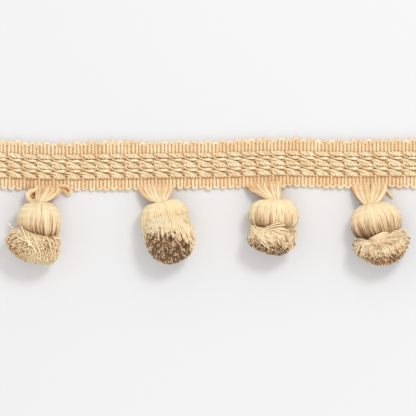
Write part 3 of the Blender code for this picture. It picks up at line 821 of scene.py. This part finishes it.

# %% [markdown]
# A pompom is the same bundle below its waist, cut short and fluffed like a shaving brush. On the side
# where the cut ends face the eye it is speckled, bright ends over dark gaps, and each thread is painted
# darker inside the pompom and just short of its tip, as painted shade of those gaps. Round it the threads lie
# along the outside in locks and show their smooth pale sides. Each pompom has its own outline, its own
# colours, a side that painted shade darkens, and cut ends only on the side that it faces. Its finish is
# duller than the head's, because cut ends scatter the light, and a core fills the depths between the threads.
# On all
# but the first the core is dark: painted shade of those depths.

# %% Places, outlines and tones of the pompoms
# The middle, half the height, the core's share and tone, the root and its spread, the way the pompom faces
# and how many degrees its cut ends reach, their radius, unevenness, the depth of painted shade just short of
# their tips and their tones, and the side where painted shade darkens them. Then the number, tones, radius,
# droop and overlap of the locks, the bearings that have none, and the outline seen from above.
POMPOM_COLUMNS = (
    "middle", "half_height", "core", "core_tone", "root", "root_spread", "turn", "pitch", "rim", "thread",
    "uneven", "depth", "bright_share", "bright", "dull", "brown_side", "locks", "root_tone", "lock_tone",
    "lock_shades", "lock_radius", "droop", "overlap", "bare", "outline")
POMPOMS = [SimpleNamespace(**dict(zip(POMPOM_COLUMNS, row))) for row in (
    ((-80.4, -27.8, 11.2), 11.0, 0.87, 0.4, (-76.4, -22.8, 10.5), 2.4, 8, 56, 88, 0.4,
     0.08, 0.2, 0.82, 1.16, 0.62, (-0.45, -0.2), 190, 0.3, 0.88,
     (-0.3, -0.1, 0.0, 0.1), 0.25, 0, 8, None, (
        (-75.2, -22.5), (-79.4, -21.6), (-83.1, -20.2), (-86.9, -19.2), (-90.6, -19.0), (-92.7, -20.6),
        (-94.0, -24.6), (-92.9, -27.6), (-90.1, -30.8), (-86.4, -33.2), (-82.2, -34.7), (-77.6, -35.4),
        (-72.5, -35.5), (-70.4, -33.9), (-69.0, -31.3), (-69.1, -28.1), (-68.5, -24.8), (-69.4, -22.7),
        (-72.5, -23.0))),
    ((-17.9, -24.3, 11.3), 11.0, 0.84, 0.08, (-20.3, -11.9, 13.9), 2.0, -14, 27, 84, 0.32,
     0.07, 0.28, 0.36, 0.7, 0.2, (0.16, 0.12), 450, 0.85, 1.06,
     (-0.14, -0.04, 0.0, 0.06), 0.23, 9, 13, None, (
        (-22.3, -10.4), (-26.9, -13.8), (-29.5, -18.8), (-29.0, -23.9), (-27.6, -28.9), (-25.7, -32.2),
        (-22.3, -34.4), (-17.7, -35.7), (-13.0, -34.1), (-9.3, -32.2), (-6.7, -27.1), (-5.8, -21.8),
        (-6.7, -16.7), (-8.5, -14.1), (-12.1, -11.4), (-17.7, -9.6))),
    ((30.2, -24.6, 10.7), 10.4, 0.8, 0.08, (27.0, -18.9, 15.4), 1.8, -12, 10, 76, 0.32,
     0.09, 0.28, 0.45, 0.84, 0.2, (0.3, -0.15), 270, 0.4, 0.9,
     (-0.5, -0.25, 0.0, 0.1), 0.22, 0, 12, None, (
        (26.0, -17.8), (22.3, -17.1), (19.3, -17.6), (19.0, -19.2), (20.0, -21.2), (18.2, -22.2),
        (17.8, -23.6), (18.9, -26.0), (21.8, -28.5), (26.4, -30.2), (30.7, -31.2), (33.2, -31.5),
        (35.5, -30.7), (37.8, -29.0), (39.9, -27.6), (41.2, -26.0), (42.1, -23.4), (42.5, -21.7),
        (41.8, -18.8), (39.9, -17.6), (36.2, -17.4), (30.7, -17.4))),
    ((79.9, -27.6, 10.8), 10.4, 0.68, 0.08, (79.0, -25.8, 17.4), 1.2, 8, -26, 92, 0.32,
     0.06, 0.28, 0.4, 0.84, 0.4, (0.12, -0.15), 290, 0.8, 0.95,
     (-0.55, -0.3, 0.0, 0.1), 0.2, 0, 12, (62, 150), (
        (79.0, -23.4), (73.4, -24.6), (69.7, -23.2), (67.6, -23.4), (66.8, -25.3), (67.0, -27.4),
        (67.4, -29.0), (69.1, -31.1), (71.6, -33.2), (75.0, -34.9), (78.4, -36.0), (82.2, -36.0),
        (85.9, -34.9), (88.6, -33.5), (90.7, -31.0), (92.3, -28.5), (93.3, -25.1), (93.4, -21.8),
        (92.5, -19.9), (90.3, -18.7), (87.3, -19.2), (83.6, -21.6))))]
for pompom in POMPOMS:
    pompom.middle, pompom.root = Vector(pompom.middle), Vector(pompom.root)
    pompom.brown_side = Vector(pompom.brown_side)
    away = np.array(pompom.outline) - pompom.middle.xy
    pompom.bearings = np.arctan2(away[:, 1], away[:, 0])
    pompom.reaches = np.hypot(away[:, 0], away[:, 1])
print("pompom widths:", [round(float(np.ptp(np.array(pompom.outline)[:, 0])), 1) for pompom in POMPOMS], "mm")


# %% [markdown]
# Every thread starts at the pompom's root, goes out to its surface and ends at a tip on it. A thread of the
# cut ends goes straight in their middle and bends towards their rim, and one of the outside follows the
# surface all the way.

# %% One thread of a pompom
def reach(pompom, way):
    """How far the pompom reaches from its middle, seen from above, in a direction."""
    bearing = math.atan2(way.y, way.x)
    return float(np.interp(bearing, pompom.bearings, pompom.reaches, period=math.tau))


def pompom_point(pompom, way, size=1.0):
    """The point of the pompom's surface in a direction from its middle, at a share of the way out."""
    far = reach(pompom, way) * size
    return pompom.middle + Vector((way.x * far, way.y * far, way.z * pompom.half_height * size))


def pompom_thread(pompom, roll, tip_way, length, hug, radius, shades, near_tip=0.85):
    """One thread from the root to its tip. Hug says how far it follows the pompom's surface."""
    tip = pompom_point(pompom, tip_way, length) + Vector([roll.uniform(-0.15, 0.15) for _ in range(3)])
    axis = (pompom.middle - pompom.root).normalized()
    outward = tip - pompom.root
    outward = (outward - axis * outward.dot(axis)).normalized()
    root = pompom.root + outward * (pompom.root_spread * math.sqrt(roll.random()))
    away = root - pompom.middle
    far = reach(pompom, away)
    start = Vector((away.x / far, away.y / far, away.z / pompom.half_height))
    size, start = min(start.length, 1.0), start.normalized()
    yarn = []
    for share, shade in zip((0.0, 0.3, 0.6, near_tip, 1.0), shades):
        way = start.slerp(tip_way, share, tip_way)
        bent = pompom_point(pompom, way, mix(size, length, ease(share * 1.7)))
        point = root.lerp(tip, share).lerp(bent, hug * (1 - share ** 4))
        yarn.append(yarn_point(point, radius, min(max(shade, 0.03), 1.0)))
    return yarn


def facing_way(pompom, away, angle):
    """A direction so far away from the one that the pompom faces, at an angle round it."""
    facing = pointing(pompom.turn, pompom.pitch)
    side, lift = across(facing)
    way = facing * math.cos(away) + (side * math.cos(angle) + lift * math.sin(angle)) * math.sin(away)
    return way.normalized()


# %% [markdown]
# The cut ends are spread evenly over the faced side by the golden angle, as the seeds of a sunflower are.
# Uneven lengths and tones make the bright and dark speckle. The locks lie round their rim.

# %% Cut ends and locks
# Real pile is many thousands of threads of about 0.3 mm, too fine to show, so fewer and thicker ones are
# drawn.
POMPOM_THREADS = 1500
LOCK_THREADS = 3
GOLDEN_ANGLE = math.pi * (3 - math.sqrt(5))


def cut_threads(pompom, roll):
    """The threads of the faced side, which end in speckled cut ends."""
    rim = math.radians(pompom.rim)
    root_tone = pompom.root_tone
    yarns = []
    for k in range(POMPOM_THREADS):
        away = math.acos(mix(1.0, math.cos(rim), (k + 0.5) / POMPOM_THREADS))
        way = facing_way(pompom, away, k * GOLDEN_ANGLE)
        bright = pompom.bright if roll.random() < pompom.bright_share else pompom.dull
        # Painted shade darkens the tips on the pompom's shaded side.
        bright += roll.uniform(-0.14, 0.1) - max(0.0, way.xy.dot(pompom.brown_side))
        length = 1.0 + roll.uniform(-pompom.uneven, 0.018)
        hug = 0.6 * ease((away / rim - 0.45) / 0.55)
        radius = pompom.thread * roll.uniform(0.8, 1.15)
        # Painted shade: darker from the root through the inside, and just short of the tip, in the gaps
        # between the tips.
        shades = (root_tone, 0.5 * root_tone, 0.3, bright - pompom.depth, bright)
        yarns.append(pompom_thread(pompom, roll, way, length, hug, radius, shades,
                                   near_tip=0.93 - 0.5 * pompom.uneven))
    return yarns


def rim_locks(pompom, roll):
    """The locks that lie along the outside, from the root to the rim of the cut ends."""
    yarns = []
    for k in range(pompom.locks):
        angle = math.tau * (k + roll.random()) / pompom.locks
        droop = pompom.droop * max(0.0, math.sin(angle)) ** 2
        away = math.radians(pompom.rim - droop + roll.triangular(-pompom.overlap, 16, 0))
        shade = roll.choice(pompom.lock_shades)
        tone = pompom.lock_tone + shade + roll.uniform(-0.1, 0.08)
        proud = roll.uniform(-0.04, 0.0) if shade < -0.2 else roll.uniform(-0.03, 0.03)
        proud += 0.07 * roll.random() ** 14
        for _ in range(LOCK_THREADS):
            way = facing_way(pompom, away + roll.uniform(-0.03, 0.03), angle + roll.uniform(-0.03, 0.03))
            bearing = math.degrees(math.atan2(way.y, way.x))
            if pompom.bare and pompom.bare[0] < bearing < pompom.bare[1]:
                continue
            # Painted shade makes a lock a little darker near the root.
            shades = (pompom.root_tone, tone - 0.1, tone, tone, tone - roll.uniform(-0.05, 0.3))
            yarns.append(pompom_thread(pompom, roll, way, 1.0 + proud, 1.0, pompom.lock_radius, shades))
    return yarns


for place, pompom in zip(places, POMPOMS):
    packed_core(f"{place.name}_pompom_core",
                lambda way, pompom=pompom: pompom_point(pompom, way, pompom.core), pompom.core_tone)
    threads = cut_threads(pompom, place.dice) + rim_locks(pompom, place.dice)
    yarn_piece(f"{place.name}_pompom", viscose_cut_pile, threads, sides=3)

# %% [markdown]
# A few threads never lie with the rest. They are longer, cross the others and catch the light, and they
# do much to make a tassel look handmade. Each is drawn through a few places on its tassel.

# %% Stray threads
STRAY_RADIUS = 0.27  # as coarse as the threads they lie on
STRAY_TONE = 0.97
# The strays of each tassel that has them, by its number.
STRAYS = {
    1: (
        ((-87.9, -18.7, 14.0), (-84.8, -23.2, 20.5), (-82.0, -26.9, 22.2)),
        ((-86.2, -17.8, 15.5), (-85.1, -20.6, 19.0), (-83.9, -23.4, 21.3), (-80.8, -26.9, 22.4)),
        ((-83.1, -21.8, 16.5), (-82.0, -21.2, 18.6), (-80.6, -22.7, 20.8), (-79.4, -25.2, 22.2),
         (-78.6, -26.9, 22.6), (-76.9, -32.5, 19.6)),
        ((-89.6, -21.6, 17.0), (-86.9, -23.4, 20.6), (-83.9, -24.8, 21.8)),
        ((-87.0, -18.2, 14.6), (-84.9, -21.2, 18.8), (-83.2, -24.6, 21.4), (-80.2, -28.4, 22.6),
         (-79.3, -30.2, 22.2)),
        ((-84.9, -19.6, 16.4), (-83.4, -21.0, 18.6), (-82.6, -23.6, 21.2), (-82.9, -27.0, 22.6)),
        ((-74.6, -23.2, 16.2), (-73.4, -25.2, 20.2), (-72.4, -28.0, 21.0)),
        ((-71.6, -22.4, 14.6), (-69.8, -23.6, 15.4), (-68.0, -23.2, 14.0)),
        ((-88.6, -20.4, 12.0), (-91.8, -17.3, 12.5), (-92.3, -16.4, 12.0))),
    3: (
        ((23.7, -22.5, 19.0), (25.1, -25.7, 20.0), (28.3, -28.3, 18.4)),
        ((20.0, -17.4, 14.0), (23.7, -21.1, 18.8), (28.3, -24.8, 21.3)),
        ((24.3, -19.6, 16.8), (26.6, -18.7, 17.5), (29.6, -17.4, 17.6), (33.4, -16.2, 17.6)),
        ((24.0, -20.2, 17.4), (27.2, -19.2, 18.2), (31.0, -17.9, 18.0), (35.6, -17.3, 17.2)),
        ((24.6, -21.0, 18.4), (28.6, -19.6, 19.0), (33.0, -19.2, 18.6), (37.4, -19.9, 17.4)),
        ((19.6, -18.6, 13.6), (22.4, -21.6, 18.4), (25.4, -24.6, 20.4), (27.6, -27.0, 19.6)),
        ((21.4, -17.4, 14.2), (24.9, -20.3, 18.8), (28.7, -24.1, 21.0), (31.0, -26.8, 20.2)),
        ((20.4, -18.3, 14.6), (25.1, -23.4, 20.2), (30.2, -29.0, 18.2)))}

for number, strays in STRAYS.items():
    yarns = [smooth([(*point, STRAY_RADIUS, STRAY_TONE) for point in points], 4) for points in strays]
    yarn_piece(f"tassel_{number}_strays", viscose_cut_pile, yarns, sides=6)

# %% [markdown]
# The fan's yarns carry on from the hairpins of the lower margin, thick and soft. They leave the edge side
# by side, close up in a few groups that overlap, and meet at the neck. They lie in two layers. The lower one
# is painted darker, as painted shade, and so are the sides of each group in the upper one, which is left
# bright along the middle of each group. Each yarn is painted a little darker where it goes into the neck.

# %% Fans
FAN_RADIUS = 0.66
FAN_SPACING = 1.3
EDGE_TONE = 0.5  # the least that a yarn has where it leaves the heading
# Each group's left and right end at the heading's edge and at the neck, its tone, and how far it sags.
FAN_GROUPS = (
    ((-80.2, -76.6, -80.0, -78.3, 0.78, 0.2), (-76.4, -73.4, -79.0, -77.2, 0.92, 0.2),
     (-73.2, -70.8, -77.8, -76.4, 0.8, 0.3), (-70.6, -67.8, -76.8, -75.2, 0.86, 0.5)),
    ((-32.4, -30.4, -23.7, -23.1, 0.75, 1.2), (-30.3, -28.2, -23.4, -22.7, 0.9, 1.1),
     (-28.1, -26.0, -23.0, -22.4, 0.8, 0.8), (-25.8, -23.7, -22.6, -22.0, 0.92, 0.5),
     (-23.5, -21.2, -22.3, -21.4, 0.8, 0.2), (-21.0, -18.9, -21.7, -20.8, 0.92, 0.0),
     (-18.7, -16.4, -21.1, -20.0, 0.84, 0.3)),
    ((17.8, 19.5, 27.9, 28.6, 0.42, -0.1), (19.4, 22.0, 28.2, 29.2, 0.72, 0.0),
     (22.1, 24.6, 28.6, 29.8, 0.82, 0.1), (24.8, 28.0, 28.9, 31.0, 0.95, 0.3),
     (28.1, 31.2, 30.2, 32.4, 0.88, 0.4), (31.3, 34.0, 31.6, 33.9, 0.9, 0.5)),
    ((67.0, 69.4, 72.1, 73.1, 0.72, 0.7), (69.5, 72.2, 72.6, 74.2, 0.9, 0.4),
     (72.3, 75.0, 73.6, 75.4, 0.82, 0.2), (75.9, 78.4, 74.6, 76.0, 0.92, 0.2),
     (78.5, 80.9, 75.2, 76.8, 0.8, 0.4), (81.0, 83.4, 76.2, 77.9, 0.88, 0.8)))
NECK_EDGES = (-6.6, -6.9, -5.5, -7.5)  # where each fan reaches its neck, in mm from the heading's lower edge


def fan_yarns(place, groups, neck_y):
    roll = place.dice
    yarns = []
    for order, (left, right, neck_left, neck_right, group_tone, sag) in enumerate(groups):
        count = max(3, round((right - left) / FAN_SPACING))
        for k in range(2 * count):
            upper = k % 2
            share = (k // 2 + 0.5 * upper) / count
            x = mix(left, right, share) + roll.uniform(-0.2, 0.2)
            neck_x = mix(neck_left, neck_right, share) + roll.uniform(-0.25, 0.25)
            edge = wander(x)
            crown = math.sin(math.pi * share)
            rise = (0.8 if upper else -0.9) + 1.1 * crown * upper + 0.4 * (order % 2)
            # Painted shade: the lower layer, and the sides of each group in the upper one.
            shade = 0.62 * (1 - crown) - 0.06 if upper else 0.72
            tone = group_tone + roll.uniform(-0.16, 0.1) - shade
            thick = FAN_RADIUS * roll.uniform(0.85, 1.15)
            start_tone = max(tone, EDGE_TONE)
            # Near the neck the yarn is painted darker: painted shade where it is gathered in.
            points = [
                (x, 2.2 + edge, 1.0, 0.4, start_tone - 0.08),
                (x, 0.9 + edge, 1.45, 0.5, start_tone - 0.04),
                (x, -0.3 + edge, 1.9 + 0.35 * upper, 0.6, mix(start_tone, tone, 0.4)),
                (mix(x, neck_x, 0.16), mix(edge, neck_y, 0.27 + 0.06 * sag), 2.9 + 0.7 * rise, thick, tone),
                (mix(x, neck_x, 0.5), mix(edge, neck_y, 0.56 + 0.16 * sag), 5.0 + rise, thick, tone + 0.02),
                (mix(x, neck_x, 0.86), mix(edge, neck_y, 0.88 + 0.05 * sag), 7.2 + 1.2 * rise,
                 thick * 0.9, tone),
                (neck_x, neck_y - 0.2, NECK_HEIGHT + 1.6 * rise, thick * 0.75, tone - 0.15),
                (mix(neck_x, place.neck.x, 0.2), neck_y - 1.6, NECK_HEIGHT + 2.2 * rise,
                 thick * 0.55, tone - 0.3)]
            yarns.append([(*point[:2], max(point[2], point[3]), *point[3:]) for point in smooth(points, 3)])
    return yarns


for place, groups, neck_y in zip(places, FAN_GROUPS, NECK_EDGES):
    yarn_piece(f"{place.name}_fan_yarns", soft_cotton_roving,
               fan_yarns(place, groups, neck_y), sides=6, replaces=(f"{place.name}_fan",))

# %% [markdown]
# A few turns of the same thread, pulled tight, make the waist. They are one helix, so the turns lie side by
# side as on the real tie. On the last tassel the pompom hangs back and the tie shows as a broad band.

# %% Waist ties
TIE_THREAD = 0.36  # mm, its radius: drawn thicker than real, like the threads of the pompoms
STEPS_PER_TURN = 20
# How many turns, their radius and width, how far along the bundle, and how far up, in mm.
TIES = ((5, 3.0, 1.9, 0.9, 0.0), (5, 3.0, 1.9, 0.9, 0.0), (5, 3.4, 2.2, 0.6, 0.4), (5, 5.3, 3.0, 2.3, 3.1))


def tie_turns(place, turns, radius, width, along, up):
    side, lift = across(place.waist_axis)
    steps = turns * STEPS_PER_TURN
    yarn = []
    for step in range(steps + 1):
        share = step / steps
        angle = math.tau * turns * share
        girth = radius * (1 - 0.12 * (2 * share - 1) ** 2)
        point = (place.waist + place.waist_axis * (along + (share - 0.5) * width) + Vector((0, 0, up))
                 + side * (girth * math.cos(angle)) + lift * (girth * math.sin(angle)))
        yarn.append(yarn_point(point, TIE_THREAD, 0.92 + 0.06 * math.sin(angle / 3)))
    return [yarn]


for place, tie in zip(places, TIES):
    yarn_piece(f"{place.name}_tie_turns", viscose_cut_pile, tie_turns(place, *tie),
               replaces=(f"{place.name}_tie",))

# %% [markdown]
# A few bits of yarn have worked loose at the lower edge: a small snarl, one cut end, and a slack loop
# beside the first neck. The snarl and the loop are one line each, laid several times, each time a little
# further in, and the turns further in are mostly painted darker, as painted shade of the hole they ring.

# %% Loose yarn
LOOSE_LOOP = (
    (-69.9, 1.7, 1.8), (-68.6, 1.2, 2.6), (-67.0, 1.0, 3.0), (-65.2, 0.4, 3.0), (-63.9, -0.9, 2.6),
    (-63.9, -2.4, 2.0), (-65.0, -3.1, 1.8), (-66.2, -2.3, 2.0), (-66.9, -0.9, 2.2), (-67.9, 0.3, 2.0),
    (-69.2, 1.0, 1.6))
SNARL_MIDDLE, SNARL_RADIUS = (-65.5, -1.2), 0.6
# The inner turns are painted darker: painted shade of the hole in the snarl.
SNARL_TURNS = ((0.0, 0.0, 0.75), (0.3, 0.3, 0.5), (0.6, -0.6, 0.0), (0.9, -0.9, 0.0))
LOOSE_END = ((81.4, 1.2, 1.4), (82.5, -0.5, 1.5), (83.5, -1.9, 1.3), (84.7, -3.3, 1.1), (85.9, -4.6, 0.85))
SLACK_LOOP = (
    (-79.2, 0.4, 1.7), (-80.6, -0.7, 3.0), (-82.8, -1.3, 4.2), (-84.3, -2.9, 5.0), (-84.3, -5.0, 5.4),
    (-83.0, -6.6, 6.0), (-81.2, -7.4, 7.0), (-79.6, -7.4, 8.0))
SLACK_MIDDLE, SLACK_RADIUS = (-80.9, -3.8), 0.5
# The inner turns are mostly painted darker: painted shade inside the loop.
SLACK_TURNS = ((0.0, 0.0, 0.8), (0.14, 0.9, 0.9), (0.1, -1.1, 0.5), (0.3, 0.9, 0.8), (0.44, 0.5, 0.7),
               (0.55, -0.5, 0.4), (0.8, -1.0, 0.2))
END_RADIUS, END_TONE = 0.74, 0.75
dice = random.Random(77)


def crumpled(points, middle, turns, radius):
    """Turns of one soft yarn: each lies so far inward, so far up, and has its own tone."""
    yarns = []
    for inward, rise, tone in turns:
        yarns.append(smooth([
            (mix(x, middle[0], inward) + dice.uniform(-0.3, 0.3),
             mix(y, middle[1], inward) + dice.uniform(-0.3, 0.3),
             max(z + rise, radius), radius, tone + dice.uniform(-0.15, 0.1)) for x, y, z in points], 4))
    return yarns


yarn_piece("loose_snarl", soft_cotton_roving,
           crumpled(LOOSE_LOOP, SNARL_MIDDLE, SNARL_TURNS, SNARL_RADIUS), sides=6, replaces=("loose_loop",))
yarn_piece("loose_cut_end", soft_cotton_roving,
           [smooth([(*point, END_RADIUS, END_TONE) for point in LOOSE_END], 4)], sides=6,
           replaces=("loose_end",))
yarn_piece("tassel_1_slack_loop", soft_cotton_roving,
           crumpled(SLACK_LOOP, SLACK_MIDDLE, SLACK_TURNS, SLACK_RADIUS), sides=6)

# %% [markdown]
# The floor is a plain pale sheet of card, there to catch the soft shadows. It isn't part of the trim.

# %% Floor
FLOOR_DROP = 0.0002  # m that the floor lies below the trim, so that the two don't touch

card, card_tree = new_finish("pale_card")
surface = add_node(card_tree, "ShaderNodeBsdfPrincipled", {"Base Color": paint("#E1E1E2"), "Roughness": 0.9})
add_node(card_tree, "ShaderNodeOutputMaterial", {"Surface": surface})
bm = bmesh.new()
bmesh.ops.create_grid(bm, x_segments=1, y_segments=1, size=4.0)
floor_mesh = finished_mesh(bm, "floor")
floor_mesh.materials.append(card)
floor = bpy.data.objects.new("floor", floor_mesh)
floor.location.z = -FLOOR_DROP
scene.collection.objects.link(floor)
